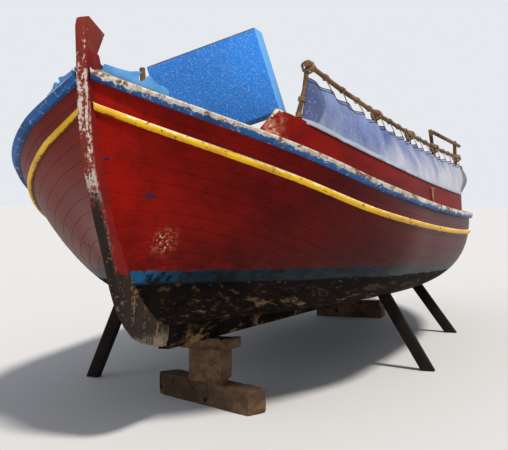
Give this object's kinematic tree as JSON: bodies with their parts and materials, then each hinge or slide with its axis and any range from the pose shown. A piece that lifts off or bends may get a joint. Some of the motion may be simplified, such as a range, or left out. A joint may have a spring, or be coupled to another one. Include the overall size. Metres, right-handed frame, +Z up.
{
  "type": "rowing boat",
  "caption": "Double-ended carvel rowing boat with foredeck, spray cloth, rudder and tiller, standing on timber cribs and props.",
  "frame": {"origin": "bottom centre of the bounding box, on the floor", "axes": "+X towards the bow, +Y to port, +Z up"},
  "size_m": [5.7912, 2.0342, 1.6018],
  "materials": {
    "inside_paint": "pale paint over timber",
    "bottom_paint": "dark flaked antifouling",
    "blue_paint": "blue oil paint",
    "bare_wood": "bare weathered timber",
    "canvas": "weathered grey-white canvas",
    "iron": "rusty forged iron",
    "old_timber": "rough grey timber",
    "stem_paint": "red paint flaked to white and wood",
    "red_paint": "gloss oil paint, weathered",
    "yellow_paint": "yellow oil paint"
  },
  "bodies": {
    "hull": {"after_deck": "inside_paint", "bottom_planking_port": "bottom_paint", "bottom_planking_starboard": "bottom_paint", "bow_chock_port": "blue_paint", "bow_chock_starboard": "blue_paint", "bow_peg": "bare_wood", "breasthook": "inside_paint", "breasthook_aft": "inside_paint", "canvas_port": "canvas", "canvas_rail_port": "bare_wood", "canvas_stanchions_port": "bare_wood", "covering_board_port": "iron", "covering_board_starboard": "iron", "deck_beams": "inside_paint", "floorboards": "inside_paint", "foredeck": "inside_paint", "frames": "inside_paint", "gudgeons": "iron", "hatch_coaming": "blue_paint", "hatch_cover": "blue_paint", "keel": "bottom_paint", "keel_crib_aft": "old_timber", "keel_crib_forward": "old_timber", "prop_aft_port": "old_timber", "prop_aft_starboard": "old_timber", "prop_forward_port": "old_timber", "prop_forward_starboard": "old_timber", "riser_port": "inside_paint", "riser_starboard": "inside_paint", "rub_rail_port": "blue_paint", "rub_rail_starboard": "blue_paint", "short_pole_port": "bare_wood", "stem": "stem_paint", "stem_ring": "iron", "sternpost": "stem_paint", "thwart_aft": "inside_paint", "thwart_forward": "inside_paint", "thwart_knees": "inside_paint", "thwart_middle": "inside_paint", "topside_planking_port": "red_paint", "topside_planking_starboard": "red_paint", "washboard_port": "red_paint", "yellow_strake_port": "yellow_paint", "yellow_strake_starboard": "yellow_paint"},
    "rudder_body": {"pintles": "iron", "rudder": "blue_paint", "tiller": "inside_paint"}
  },
  "joints": [
    {"name": "rudder_hinge", "type": "hinge", "parent": "hull", "child": "rudder_body", "pos_m": [-2.45961, 0.00284, 0.56472], "axis": [-0.4934, -0.0203, 0.8696], "range_deg": [-35, 35]}
  ]
}
